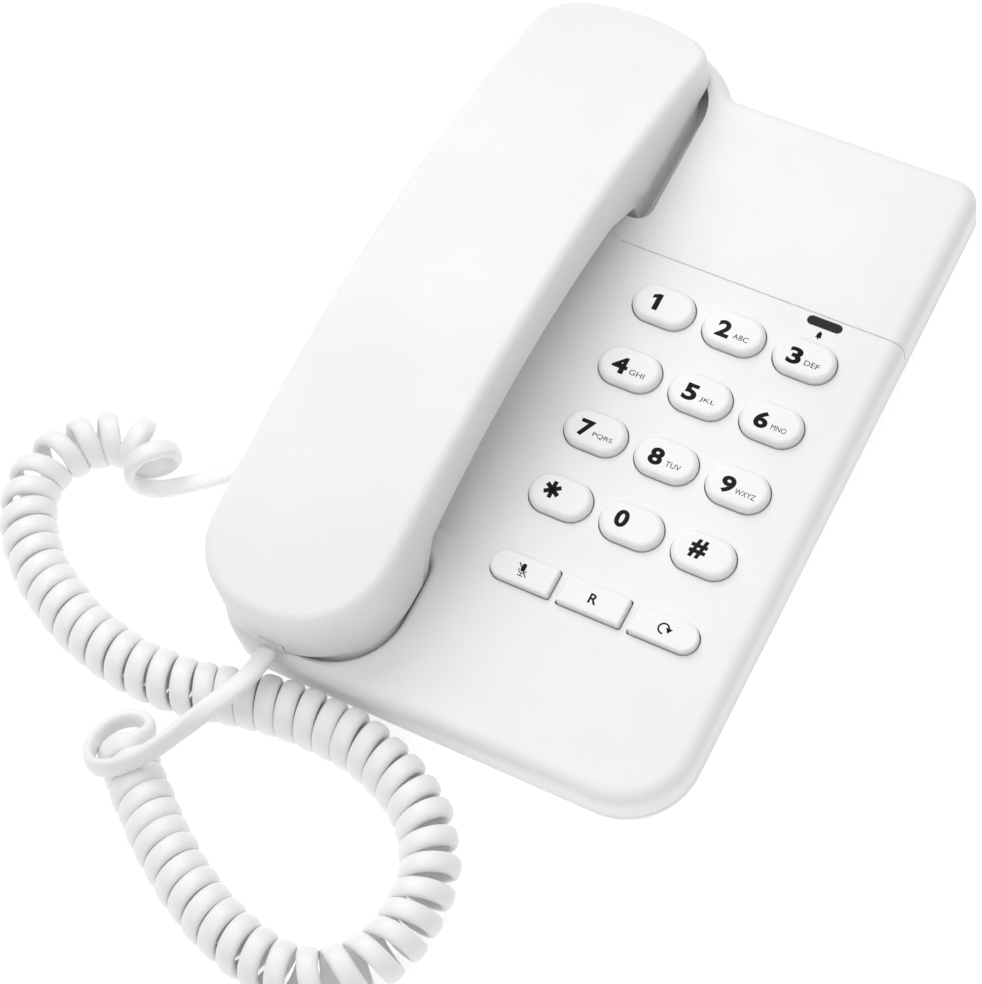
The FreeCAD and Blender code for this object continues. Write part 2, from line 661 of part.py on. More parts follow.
def plan_prism(name, plan, inset):
    """A shell's plan stood up as a prism, with a bowed rear end and round corners."""
    left, right, front, rear, radii = plan
    more = " + " + inset
    less = " - " + inset
    body = new_body(name)
    sketch = new_sketch(body, "XY_Plane", "-20")
    outline(sketch, [(left[0] + more, front + more), (right[0] + less, front + more),
                     (right[1] + less, rear + less), (left[1] + more, rear + less)])
    pad(body, sketch, "70")
    bow = rod(name + "_bow", "bow_x", rear + " - bow_radius", "-30", "60",
              "bow_radius" + less)
    bowed = common(name + "_bowed", body, bow_with_front(name, bow, front))
    middle = (size("hand_front") + size("hand_rear")) / 2
    edges = []
    for number, edge in enumerate(bowed.Shape.Edges, 1):
        if upright(edge):
            spot = edge.CenterOfMass
            front_end = spot.y < middle
            right_side = spot.x > size("hand_x")
            index = (1 if right_side else 0) if front_end else (2 if right_side else 3)
            radius = size(radii[index]) - size(inset)
            edges.append((number, radius, radius))
    rounds = doc.addObject("Part::Fillet", name + "_corners")
    rounds.Base = bowed
    rounds.Edges = edges
    return settle(rounds)


def bow_with_front(name, bow, front):
    """The bow's drum joined to a block that keeps everything in front of the rear end."""
    keep = block(name + "_front", "hand_x - 60", "hand_x + 60", front + " - 10", "60",
                 "-30", "60")
    return joined(name + "_bow_and_front", [bow, keep])


def under_arch(name, blank, inset):
    arch = doc.addObject("Part::Cylinder", name + "_arch")
    arch.setExpression("Radius", in_sheet("arch_radius - " + inset))
    arch.Height = 100
    arch.Placement = FreeCAD.Placement(
        Vector(size("hand_x") - 50, size("arch_y"), size("arch_top - arch_radius")),
        FreeCAD.Rotation(Vector(0, 1, 0), 90))
    return common(name + "_arched", blank, arch)


def parting_line(raise_by):
    """The line between the two shells from the ear end to the mouth end."""
    up = " + " + raise_by
    return [(EAR_BLOCK_FRONT, "hand_edge" + up),
            (EAR_SHOULDER_LOW[0], EAR_SHOULDER_LOW[1] + up),
            (EAR_SHOULDER[0], EAR_SHOULDER[1] + up, "grip_radius", 1),
            (MOUTH_SHOULDER[0], MOUTH_SHOULDER[1] + up),
            (MOUTH_BLOCK_REAR, "hand_edge" + up)]


def below_parting(name):
    """Everything under the parting line, as wide as the handset and more."""
    body = new_body(name)
    sketch = new_sketch(body, "YZ_Plane", "hand_x")
    outline(sketch, [("hand_front - 5", "-30"), ("hand_rear + 5", "-30"),
                     ("hand_rear + 5", "hand_edge")] + parting_line("0")
            + [("hand_front - 5", "hand_edge")])
    pad(body, sketch, "hand_width + 20", both_ways=True)
    return body


def handset_outer_shell():
    blank = under_arch("outer", plan_prism("outer_plan", OUTER_PLAN, "0"), "0")
    rounds = doc.addObject("Part::Fillet", "outer_rounds")
    rounds.Base = blank
    top = [number for number, edge in enumerate(blank.Shape.Edges, 1)
           if edge.BoundBox.ZMin > size("hand_edge") + 3 and not upright(edge)]
    rounds.Edges = [(number, size("hand_round"), size("hand_round")) for number in top]
    settle(rounds)
    trimmed = cut("outer_trimmed", rounds, below_parting("outer_below"))
    cavity = under_arch("outer_cavity", plan_prism("cavity_plan", OUTER_PLAN, "hand_wall"),
                        "hand_wall")
    hollow = cut("outer_hollow", trimmed, cavity)
    finish("handset_outer_shell", cut("handset_outer_shell", hollow,
                                      block("plug_notch", *HAND_PLUG_HOLE)))


def underside(name, inset):
    """The lower shell's side view between its parting line and its underside."""
    body = new_body(name)
    sketch = new_sketch(body, "YZ_Plane", "hand_x")
    wall = " + " + inset
    top = " + ( %s ) * 2" % inset
    outline(sketch, [("block_front - 5", "mouth_block_low" + wall),
                     ("-64 - " + inset, "mouth_block_low" + wall),
                     ("-56", "9" + wall, "belly_radius", 1),
                     ("42", "9.5" + wall),
                     ("53.6" + wall, "2" + wall),
                     ("53.9" + wall, "ear_block_low" + wall),
                     ("block_rear + 5", "ear_block_low" + wall),
                     ("block_rear + 5", "hand_edge" + top)] + parting_line("( %s ) * 2" % inset)
            + [("block_front - 5", "hand_edge" + top)])
    pad(body, sketch, "hand_width + 20", both_ways=True)
    return body


def handset_inner_shell():
    outside = common("inner_outside", underside("inner_side", "0"),
                     plan_prism("inner_plan", INNER_PLAN, "0"))
    inside = common("inner_inside", underside("inner_side_hollow", "hand_wall"),
                    plan_prism("inner_plan_hollow", INNER_PLAN, "hand_wall"))
    shell = cut("inner_hollow", outside, inside)
    holes = [rod("ear_hole", "hand_x + %.3f" % (6 * math.cos(turn)),
                 "76 + %.3f" % (6 * math.sin(turn)), "-12", "-5", "0.9")
             for turn in [index * math.pi / 3 for index in range(6)]]
    holes.append(rod("ear_hole", "hand_x", "76", "-12", "-5", "0.9"))
    holes.append(rod("voice_hole", "hand_x", "-72", "-8", "-1", "1"))
    holes.append(block("plug_hole", *HAND_PLUG_HOLE))
    finish("handset_inner_shell", cut("handset_inner_shell", shell,
                                      joined("inner_holes", holes)))


# left, right, front, rear, bottom, top
PLUG_X = "-67.5"
HAND_PLUG = (PLUG_X + " - 3.2", PLUG_X + " + 3.2", "-96.6", "-82", "0.7", "4.1")
HAND_PLUG_HOLE = (PLUG_X + " - 3.5", PLUG_X + " + 3.5", "-100", "-88", "0.3", "4.5")


def handset_fittings():
    shell = block("hand_jack_shell", PLUG_X + " - 5.4", PLUG_X + " + 5.4", "-90.6", "-79",
                  "-1.6", "7.2")
    socket = block("hand_socket", PLUG_X + " - 3.5", PLUG_X + " + 3.5", "-93", "-80.5", "0.3",
                   "4.5")
    finish("handset_jack", cut("handset_jack", shell, socket))
    finish("handset_plug", block("handset_plug", *HAND_PLUG))
    finish("receiver_capsule", rod("receiver_capsule", "hand_x", "76",
                                   "ear_block_low + hand_wall", "ear_block_low + hand_wall + 8",
                                   "15"))
    finish("microphone_capsule", rod("microphone_capsule", "hand_x", "-72",
                                     "mouth_block_low + hand_wall",
                                     "mouth_block_low + hand_wall + 5", "4.5"))
    finish("handset_weight", block("handset_weight", "hand_x - 9", "hand_x + 9", "-30", "12",
                                   "20.5", "25"))


# ---------------------------------------------------------------- cord

# Points chosen along the cord, in the world frame, in millimetres.
HANDSET_LEAD = [(-43.2, -103.5, 19.6), (-42.9, -110.3, 22.0), (-44.4, -118.3, 22.4),
                (-49.2, -126.5, 20.4), (-56.0, -133.9, 16.2), (-62.4, -139.8, 11.5)]
COIL_HEIGHT = 7.8
COIL = [(-68.5, -136.4), (-59.5, -144.4), (-49.5, -152.4), (-38.0, -160.9), (-24.0, -168.4),
        (-8.0, -173.4), (8.0, -172.6), (18.0, -161.9), (21.5, -145.9), (18.0, -130.9),
        (7.5, -119.4), (-6.5, -112.9), (-21.0, -110.6), (-35.5, -111.0), (-49.0, -113.3),
        (-62.0, -116.8), (-76.0, -117.4), (-91.0, -114.6), (-106.5, -108.4), (-120.0, -98.8),
        (-129.5, -86.6), (-130.8, -72.6), (-123.5, -62.6), (-112.5, -58.6), (-103.0, -62.6)]
BASE_LEAD = [(-106.3, -67.9, 5.4), (-97.0, -62.4, 3.4), (-88.0, -54.4, 3.2),
             (-81.0, -43.9, 4.2), (-78.0, -31.9, 6.2), (-72.0, -22.2, 8.4),
             (-61.4, -17.0, 9.6)]


def rounded_path(points, label):
    """Straight runs joined by tangent arcs; prints the tightest radius."""
    spots = [Vector(*point) for point in points]
    edges = []
    radii = []
    here = spots[0]
    for before, corner, after in zip(spots, spots[1:], spots[2:]):
        back = before - corner
        ahead = after - corner
        shorter = min(back.Length, ahead.Length)
        turn = math.pi - back.getAngle(ahead)
        reach = 0.45 * shorter
        radii.append(reach / math.tan(turn / 2))
        start = corner + back.normalize() * reach
        end = corner + ahead.normalize() * reach
        inward = (back + ahead).normalize()
        middle = corner + inward * (radii[-1] / math.cos(turn / 2) - radii[-1])
        edges.append(Part.LineSegment(here, start).toShape())
        edges.append(Part.Arc(start, middle, end).toShape())
        here = end
    edges.append(Part.LineSegment(here, spots[-1]).toShape())
    path = Part.Wire(edges)
    print("%s: length %.1f, radii %s" % (label, path.Length,
                                         " ".join("%.0f" % radius for radius in radii)))
    return path


def tube(label, points, diameter):
    path = rounded_path(points, label)
    first = Vector(*points[0])
    along = Vector(*points[1]) - first
    ring = Part.Wire(Part.Circle(first, along, size(diameter) / 2).toShape())
    solid = path.makePipeShell([ring], True, False)
    expected = math.pi * size(diameter) ** 2 / 4 * path.Length
    print("%s: volume is %.4f of its section times its length" % (label, solid.Volume / expected))
    feature = doc.addObject("Part::Feature", label)
    feature.Shape = solid
    finish(label, feature, FreeCAD.Placement())


def cord():
    tube("cord_lead_handset", HANDSET_LEAD, "lead_diameter")
    tube("cord_coil", [(x, y, COIL_HEIGHT) for x, y in COIL], "coil_diameter")
    tube("cord_lead_base", BASE_LEAD, "lead_diameter")


# ---------------------------------------------------------------- build and export

def check_and_export():
    doc.recompute()
    for item in doc.Objects:
        if "Invalid" in item.State or "Error" in item.State:
            raise RuntimeError("%s failed: %s" % (item.Name, item.State))
    for label, item in parts.items():
        if item.Shape.isNull() or not item.Shape.isValid() or not item.Shape.Solids:
            raise RuntimeError("%s has no valid solid" % label)
    os.makedirs("parts", exist_ok=True)
    for label, item in parts.items():
        item.Shape.exportStep("parts/%s.step" % label)
        box = item.Shape.BoundBox
        print("%-22s %d solids %9.0f mm3  x %.1f %.1f  y %.1f %.1f  z %.2f %.1f" % (
            label, len(item.Shape.Solids), item.Shape.Volume, box.XMin, box.XMax,
            box.YMin, box.YMax, box.ZMin, box.ZMax))


upper_housing()
lower_housing()
jacks()
screws()
feet()
electronics()
hook_button()
keys()
handset_outer_shell()
handset_inner_shell()
handset_fittings()
cord()
check_and_export()
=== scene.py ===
import math
import random

import bpy
from mathutils import Matrix, Vector


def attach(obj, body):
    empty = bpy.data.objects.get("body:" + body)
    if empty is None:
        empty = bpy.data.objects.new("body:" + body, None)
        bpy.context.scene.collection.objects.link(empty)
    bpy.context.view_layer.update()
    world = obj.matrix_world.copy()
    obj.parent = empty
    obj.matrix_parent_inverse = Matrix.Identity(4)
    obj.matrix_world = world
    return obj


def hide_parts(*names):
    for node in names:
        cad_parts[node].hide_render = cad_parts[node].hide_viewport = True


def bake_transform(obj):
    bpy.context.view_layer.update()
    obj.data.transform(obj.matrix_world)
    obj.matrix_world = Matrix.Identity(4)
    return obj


# A corded desk phone.  The housings, keys, handset and inner parts are the CAD frame's own nodes
# and get their finish here.  The curly cord and the prints on the keys and deck are built here.
# Everything is in metres unless it says otherwise, with +Z up from the table and +Y to the back
# of the phone.

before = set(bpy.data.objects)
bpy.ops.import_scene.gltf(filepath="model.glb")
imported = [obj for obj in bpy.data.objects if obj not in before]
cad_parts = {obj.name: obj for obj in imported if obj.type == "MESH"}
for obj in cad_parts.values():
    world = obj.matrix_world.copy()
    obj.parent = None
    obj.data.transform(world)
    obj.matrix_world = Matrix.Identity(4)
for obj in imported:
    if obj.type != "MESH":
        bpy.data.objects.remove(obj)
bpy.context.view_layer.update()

MM = 0.001
BASE = "base"

# The deck frame: the keypad surface, which leans back.  Its origin is the keypad's middle.
DECK_TILT = math.radians(8)
DECK_ORIGIN = Vector((24.35, -5.6, 30.0)) * MM
DECK = Matrix.Translation(DECK_ORIGIN) @ Matrix.Rotation(DECK_TILT, 4, "X")


def on_deck(across, up, out):
    """A point given in millimetres in the deck frame, in metres in the world."""
    return DECK @ (Vector((across, up, out)) * MM)


# ---------------------------------------------------------------- camera, floor and light

SENSOR = 36.0
PICTURE_SIDE = 984
FOCAL_PIXELS = 2961.284
CAMERA_AZIMUTH = math.radians(33.877)
CAMERA_ELEVATION = math.radians(56.452)
CAMERA_ROLL = math.radians(7.0)
CAMERA_DISTANCE = 783.193 * MM
CAMERA_TARGET = Vector((-22.192, -27.026, 0.0)) * MM
CAMERA_CLIP = (0.05, 20.0)

# The sky is dark at the horizon and bright overhead.
HORIZON_LIGHT = 0.10
ZENITH_LIGHT = 0.95
# Each softbox: where it hangs, its width and height, and its power in watts.
SOFTBOXES = {"key_light": ((-0.55, 0.45, 1.0), (1.0, 1.0), 6.4),
             "front_light": ((-0.1, -0.8, 1.2), (1.2, 0.8), 3.0)}
# The floor is a plain sheet that glows a little, so that it comes out as white as a paper sweep.
FLOOR_REACH = 4.0
FLOOR_TONE = 0.8
FLOOR_ROUGHNESS = 0.9
FLOOR_GLOW = 0.45


def make_camera():
    """The photo's camera: it circles the target at an azimuth and elevation, and is rolled."""
    a, e = CAMERA_AZIMUTH, CAMERA_ELEVATION
    back = Vector((math.sin(a) * math.cos(e), -math.cos(a) * math.cos(e), math.sin(e)))
    right = Vector((math.cos(a), math.sin(a), 0.0))
    up = back.cross(right)
    across = right * math.cos(CAMERA_ROLL) - up * math.sin(CAMERA_ROLL)
    over = right * math.sin(CAMERA_ROLL) + up * math.cos(CAMERA_ROLL)
    turn = Matrix((across, over, back)).transposed().to_4x4()
    data = bpy.data.cameras.new("camera")
    data.sensor_width = SENSOR
    data.lens = FOCAL_PIXELS * SENSOR / PICTURE_SIDE
    data.clip_start, data.clip_end = CAMERA_CLIP
    camera = bpy.data.objects.new("camera", data)
    camera.matrix_world = Matrix.Translation(CAMERA_TARGET + back * CAMERA_DISTANCE) @ turn
    bpy.context.collection.objects.link(camera)
    bpy.context.scene.camera = camera


def softbox(name, place, size, power):
    """A white area light aimed at the origin."""
    data = bpy.data.lights.new(name, "AREA")
    data.shape = "RECTANGLE"
    data.size, data.size_y = size
    data.energy = power
    light = bpy.data.objects.new(name, data)
    light.location = place
    light.rotation_mode = "QUATERNION"
    light.rotation_quaternion = (-Vector(place)).to_track_quat("-Z", "Y")
    bpy.context.collection.objects.link(light)


def light_scene():
    """A sky that brightens from the horizon to the zenith, and the softboxes."""
    world = bpy.data.worlds.new("studio")
    bpy.context.scene.world = world
    world.use_nodes = True
    nodes, links = world.node_tree.nodes, world.node_tree.links
    nodes["Background"].inputs["Color"].default_value = (1.0, 1.0, 1.0, 1.0)
    place = nodes.new("ShaderNodeTexCoord")
    split = nodes.new("ShaderNodeSeparateXYZ")
    links.new(place.outputs["Generated"], split.inputs["Vector"])
    height = add_node(nodes, "ShaderNodeMapRange", To_Min=HORIZON_LIGHT, To_Max=ZENITH_LIGHT)
    links.new(split.outputs["Z"], height.inputs["Value"])
    links.new(height.outputs["Result"], nodes["Background"].inputs["Strength"])
    for name, (spot, size, power) in SOFTBOXES.items():
        softbox(name, spot, size, power)
    bpy.context.scene.view_settings.view_transform = "Standard"


def make_floor():
    """The white sheet under the phone, which belongs to the stage and not to the phone."""
    far = FLOOR_REACH
    mesh = bpy.data.meshes.new("floor")
    mesh.from_pydata([(-far, -far, 0), (far, -far, 0), (far, far, 0), (-far, far, 0)], [],
                     [(0, 1, 2, 3)])
    floor = bpy.data.objects.new("floor", mesh)
    bpy.context.collection.objects.link(floor)
    paint, nodes, _ = new_material("floor_paint")
    surface = nodes["Principled BSDF"].inputs
    surface["Base Color"].default_value = (FLOOR_TONE, FLOOR_TONE, FLOOR_TONE, 1.0)
    surface["Roughness"].default_value = FLOOR_ROUGHNESS
    surface["Emission Color"].default_value = (1.0, 1.0, 1.0, 1.0)
    surface["Emission Strength"].default_value = FLOOR_GLOW
    floor.data.materials.append(paint)


# ---------------------------------------------------------------- materials

# The slow drift between a plastic's two tones: noise cycles a metre, and where each tone is full.
DRIFT_SCALE = 24.0
DRIFT_LOW, DRIFT_HIGH = 0.35, 0.68
# The part of the grain's noise that the roughness follows.
SPECK_LOW, SPECK_HIGH = 0.3, 0.7


def new_material(name):
    material = bpy.data.materials.new(name)
    material.use_nodes = True
    return material, material.node_tree.nodes, material.node_tree.links


def add_node(nodes, kind, **values):
    """A node with some of its sockets set by name."""
    node = nodes.new(kind)
    for key, value in values.items():
        node.inputs[key.replace("_", " ")].default_value = value
    return node


def moulded_plastic(name, low, high, rough_low, rough_high, grain, depth, **shader):
    """Moulded plastic: colour that drifts between two tones, and a fine spark-eroded grain."""
    material, nodes, links = new_material(name)
    surface = nodes["Principled BSDF"]
    for key, value in shader.items():
        surface.inputs[key.replace("_", " ")].default_value = value
    place = nodes.new("ShaderNodeTexCoord").outputs["Object"]

    drift = add_node(nodes, "ShaderNodeTexNoise", Scale=DRIFT_SCALE, Detail=3.0, Roughness=0.55)
    links.new(place, drift.inputs["Vector"])
    tones = nodes.new("ShaderNodeValToRGB")
    tones.color_ramp.elements[0].position = DRIFT_LOW
    tones.color_ramp.elements[1].position = DRIFT_HIGH
    tones.color_ramp.elements[0].color = (*low, 1.0)
    tones.color_ramp.elements[1].color = (*high, 1.0)
    links.new(drift.outputs["Fac"], tones.inputs["Fac"])
    links.new(tones.outputs["Color"], surface.inputs["Base Color"])

    speck = add_node(nodes, "ShaderNodeTexNoise", Scale=grain, Detail=2.0, Roughness=0.6)
    links.new(place, speck.inputs["Vector"])
    rough = add_node(nodes, "ShaderNodeMapRange", From_Min=SPECK_LOW, From_Max=SPECK_HIGH,
                     To_Min=rough_low, To_Max=rough_high)
    links.new(speck.outputs["Fac"], rough.inputs["Value"])
    links.new(rough.outputs["Result"], surface.inputs["Roughness"])

    bump = add_node(nodes, "ShaderNodeBump", Strength=1.0, Distance=depth)
    links.new(speck.outputs["Fac"], bump.inputs["Height"])
    links.new(bump.outputs["Normal"], surface.inputs["Normal"])
    return material


# ---------------------------------------------------------------- meshes

def add_piece(name, mesh, material):
    """Puts a mesh in the scene, with its one material."""
    mesh.materials.append(material)
    piece = bpy.data.objects.new(name, mesh)
    bpy.context.collection.objects.link(piece)
    return piece


# ---------------------------------------------------------------- curly cord

# One flat four-wire cord: a lead out of the handset, a loose first turn, a tight coil that lies
# on the table, a loose last turn and a lead into the base.  The routes are the CAD cord's, with
# the loose turns added.
LEAD_ROUTE = [
    (-0.0432, -0.1035, 0.0196), (-0.0424, -0.1090, 0.0210), (-0.0438, -0.1164, 0.0216),
    (-0.0470, -0.1236, 0.0212), (-0.0500, -0.1306, 0.0204), (-0.0542, -0.1396, 0.0192),
    (-0.0606, -0.1476, 0.0174), (-0.0674, -0.1496, 0.0152), (-0.0720, -0.1448, 0.0128),
    (-0.0728, -0.1374, 0.0108), (-0.0698, -0.1316, 0.0099), (-0.0638, -0.1298, 0.0104),
    (-0.0600, -0.1338, 0.0122), (-0.0622, -0.1379, 0.0138),
]
COIL_HEIGHT = 0.0078
COIL_ROUTE = [
    (-0.0685, -0.1364), (-0.0595, -0.1444), (-0.0495, -0.1524), (-0.0380, -0.1609),
    (-0.0240, -0.1684), (-0.0080, -0.1734), (0.0080, -0.1726), (0.0180, -0.1619),
    (0.0215, -0.1459), (0.0180, -0.1309), (0.0075, -0.1194), (-0.0065, -0.1129),
    (-0.0210, -0.1106), (-0.0355, -0.1110), (-0.0490, -0.1133), (-0.0620, -0.1168),
    (-0.0760, -0.1174), (-0.0910, -0.1146), (-0.1065, -0.1084), (-0.1200, -0.0988),
    (-0.1295, -0.0866), (-0.1308, -0.0726), (-0.1235, -0.0626), (-0.1140, -0.0576),
    (-0.1066, -0.0594), (-0.1022, -0.0651),
]
BASE_ROUTE = [
    (-0.0985, -0.0628, 0.0016), (-0.0914, -0.0573, 0.0022), (-0.0862, -0.0526, 0.0028),
    (-0.0810, -0.0439, 0.0042), (-0.0780, -0.0319, 0.0062), (-0.0720, -0.0222, 0.0084),
    (-0.0614, -0.0170, 0.0096),
]
# The strand's section is a superellipse, and its middle winds at TURN_RADIUS round the axis.
CORD_WIDTH = 0.0053
CORD_THICK = 0.0030
CORD_ROUNDNESS = 2.5
TURN_RADIUS = 0.00625
TURN_PITCH = 0.0054
POINTS_A_TURN = 28
SECTION_POINTS = 18
# The coil starts this far along its route, and starts and ends at these angles of its turn.
COIL_START = 0.0044
FIRST_PHASE = 0.35
LAST_PHASE = math.pi + 0.1
# The coil's axis is walked in small steps; its direction and its bend are taken over more.
AXIS_STEP = 0.00025
DIRECTION_STEPS = 8
BEND_STEPS = 16
# However tight the bend, the turns keep at least this share of their usual rate.
LEAST_RATE = 0.55
# Each turn is a little smaller than the last or larger, and leans a little, by chance.
WOBBLE_SEED = 7
WOBBLE_RADIUS = 0.0001
WOBBLE_ACROSS = 0.00035
WOBBLE_AHEAD = 0.0002
# At the base end the turns come quicker over the last stretch, and the last of them widen.
LOOSE_RUN = 0.024
LOOSE_RATE = 1.12
LOOSE_FLARE = 0.0010
LOOSE_ANGLE = 2.6 * math.pi
# The leads: the flat side turns from up to outward round the loose ring as the lead comes to it.
LEAD_STEP = 0.0014
RING_MIDDLE = Vector((-0.0664, -0.1400, 0.0130))
RING_TURN_START = 0.012
RING_TURN_END = 0.034
HANDSET_BRIDGE_STEPS = 5
BASE_BRIDGE_STEPS = 6
# The cord is two pieces: the handset's end, and the rest, which stays on the table.
SPLIT_AT = 0.052


def spline_line(name, route):
    """Points along a NURBS spline that has the route as its control points."""
    curve = bpy.data.curves.new(name, "CURVE")
    curve.dimensions = "3D"
    curve.resolution_u = 24
    spline = curve.splines.new("NURBS")
    spline.points.add(len(route) - 1)
    for point, place in zip(spline.points, route):
        point.co = (*place, 1.0)
    spline.order_u = 3
    spline.use_endpoint_u = True
    bare = bpy.data.objects.new(name, curve)
    mesh = bpy.data.meshes.new_from_object(bare)
    line = [vertex.co.copy() for vertex in mesh.vertices]
    bpy.data.objects.remove(bare)
    bpy.data.meshes.remove(mesh)
    return line


def evenly(line, step):
    """The same line with points a step apart."""
    lengths = [0.0]
    for before, after in zip(line, line[1:]):
        lengths.append(lengths[-1] + (after - before).length)
    count = max(2, round(lengths[-1] / step))
    spots, at = [], 0
    for number in range(count + 1):
        want = lengths[-1] * number / count
        while at < len(line) - 2 and lengths[at + 1] < want:
            at += 1
        share = (want - lengths[at]) / max(lengths[at + 1] - lengths[at], 1e-9)
        spots.append(line[at].lerp(line[at + 1], share))
    return spots


def bridge(before, start, end, after, steps):
    """A smooth join between two lines, from start to end."""
    reach = (end - start).length / 3
    first = start + (start - before).normalized() * reach
    last = end + (end - after).normalized() * reach
    spots = []
    for number in range(1, steps):
        t = number / steps
        spots.append(start * (1 - t) ** 3 + first * 3 * t * (1 - t) ** 2
                     + last * 3 * t * t * (1 - t) + end * t ** 3)
    return spots


def wound_strand():
    """The coil's strand: its points, and the outward direction and place on the axis of each."""
    step = AXIS_STEP
    route = [(x, y, COIL_HEIGHT) for x, y in COIL_ROUTE]
    axis = evenly(spline_line("coil_route", route), step)
    end = len(axis) - 1
    ahead = [(axis[min(i + DIRECTION_STEPS, end)] - axis[max(i - DIRECTION_STEPS, 0)]).normalized()
             for i in range(len(axis))]
    across = [forward.cross(Vector((0, 0, 1))) for forward in ahead]
    turning = []
    for i in range(len(axis)):
        low, high = max(i - BEND_STEPS, 0), min(i + BEND_STEPS, end)
        turning.append(ahead[low].angle(ahead[high]) / (step * (high - low)))
    # The turns touch on the inside of a bend and fan open on its outside.
    rate = [2 * math.pi * max(1 - TURN_RADIUS * bend, LEAST_RATE) / TURN_PITCH
            for bend in turning]
    for i in range(len(axis) - round(LOOSE_RUN / step), len(axis)):
        rate[i] *= LOOSE_RATE
    first = round(COIL_START / step)
    total = sum(rate[first:]) * step
    turns = round((total + FIRST_PHASE - LAST_PHASE) / (2 * math.pi))
    scale = (turns * 2 * math.pi + LAST_PHASE - FIRST_PHASE) / total
    dice = random.Random(WOBBLE_SEED)
    wobble = [dice.uniform(-1, 1) for _ in range(turns + 3)]
    strand, outward, along = [], [], []
    phase, next_phase = FIRST_PHASE, FIRST_PHASE
    last_phase = turns * 2 * math.pi + LAST_PHASE
    for i in range(first, len(axis)):
        if phase >= next_phase or i == end:
            turn = phase / (2 * math.pi)
            number, share = int(turn), turn - int(turn)
            sway = wobble[number] * (1 - share) + wobble[number + 1] * share
            out = Vector((0, 0, 1)) * math.cos(phase) + across[i] * math.sin(phase)
            flare = LOOSE_FLARE * max(1 - (last_phase - phase) / LOOSE_ANGLE, 0)
            radius = TURN_RADIUS + flare + WOBBLE_RADIUS * (sway - 1)
            lean = across[i] * WOBBLE_ACROSS * sway + ahead[i] * WOBBLE_AHEAD * sway
            strand.append(axis[i] + out * radius + lean + Vector((0, 0, flare)))
            outward.append(out)
            along.append((i - first) * step)
            next_phase += 2 * math.pi / POINTS_A_TURN
        phase += rate[i] * scale * step
    return strand, outward, along


def rounded(share):
    """Squares off a sine or cosine, so that an ellipse becomes a flat section with round edges."""
    return math.copysign(abs(share) ** (2 / CORD_ROUNDNESS), share)


def band(name, line, outward, material):
    """A flat cord with round edges along a line, its flat side turned outward."""
    section = []
    for k in range(SECTION_POINTS):
        angle = 2 * math.pi * k / SECTION_POINTS
        section.append((rounded(math.cos(angle)) * CORD_WIDTH / 2,
                        rounded(math.sin(angle)) * CORD_THICK / 2))
    points, faces, size = [], [], len(section)
    for i, place in enumerate(line):
        forward = (line[min(i + 1, len(line) - 1)] - line[max(i - 1, 0)]).normalized()
        out = (outward[i] - forward * outward[i].dot(forward)).normalized()
        side = forward.cross(out)
        points += [place + side * across + out * over for across, over in section]
    for i in range(len(line) - 1):
        for k in range(size):
            a, b = i * size + k, i * size + (k + 1) % size
            faces.append((a, a + size, b + size, b))
    faces.append(tuple(range(size)))
    faces.append(tuple(len(points) - 1 - k for k in range(size)))
    mesh = bpy.data.meshes.new(name)
    mesh.from_pydata(points, [], faces)
    mesh.validate()
    mesh.shade_smooth()
    return add_piece(name, mesh, material)


def blended(first, last, count):
    """Directions that turn evenly from one to another."""
    return [first.slerp(last, (k + 1) / (count + 1)) for k in range(count)]


def curly_cord(material):
    """Both pieces of the cord, from the handset's plug to the base's."""
    strand, outward, along = wound_strand()
    lead = evenly(spline_line("lead_route", LEAD_ROUTE), LEAD_STEP)
    up = Vector((0, 0, 1))
    lead_out = []
    for i, place in enumerate(lead):
        ring = (place - RING_MIDDLE).normalized()
        share = (i * LEAD_STEP - RING_TURN_START) / (RING_TURN_END - RING_TURN_START)
        share = min(1.0, max(0.0, share))
        share = share * share * (3 - 2 * share)
        lead_out.append((up * (1 - share) + ring * share).normalized())
    joint = bridge(lead[-2], lead[-1], strand[0], strand[1], HANDSET_BRIDGE_STEPS)
    joint_out = blended(lead_out[-1], outward[0], len(joint))
    cut = next(i for i, far in enumerate(along) if far > SPLIT_AT)
    handset_line = lead + joint + strand[:cut + 1]
    handset_out = lead_out + joint_out + outward[:cut + 1]

    tail = evenly(spline_line("base_route", BASE_ROUTE), LEAD_STEP)
    tail_joint = bridge(strand[-2], strand[-1], tail[0], tail[1], BASE_BRIDGE_STEPS)
    down = Vector((0, 0, -1))
    tail_out = [down] * len(tail)
    base_line = strand[cut:] + tail_joint + tail
    base_out = outward[cut:] + blended(outward[-1], down, len(tail_joint)) + tail_out

    near = band("curly_cord_handset_end", handset_line, handset_out, material)
    rest = band("curly_cord", base_line, base_out, material)
    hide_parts("cord_lead_handset")
    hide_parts("cord_coil", "cord_lead_base")
    ground = strand[cut].copy()
    ground.z = COIL_HEIGHT
    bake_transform(near)
    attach(rest, BASE)


# ---------------------------------------------------------------- prints

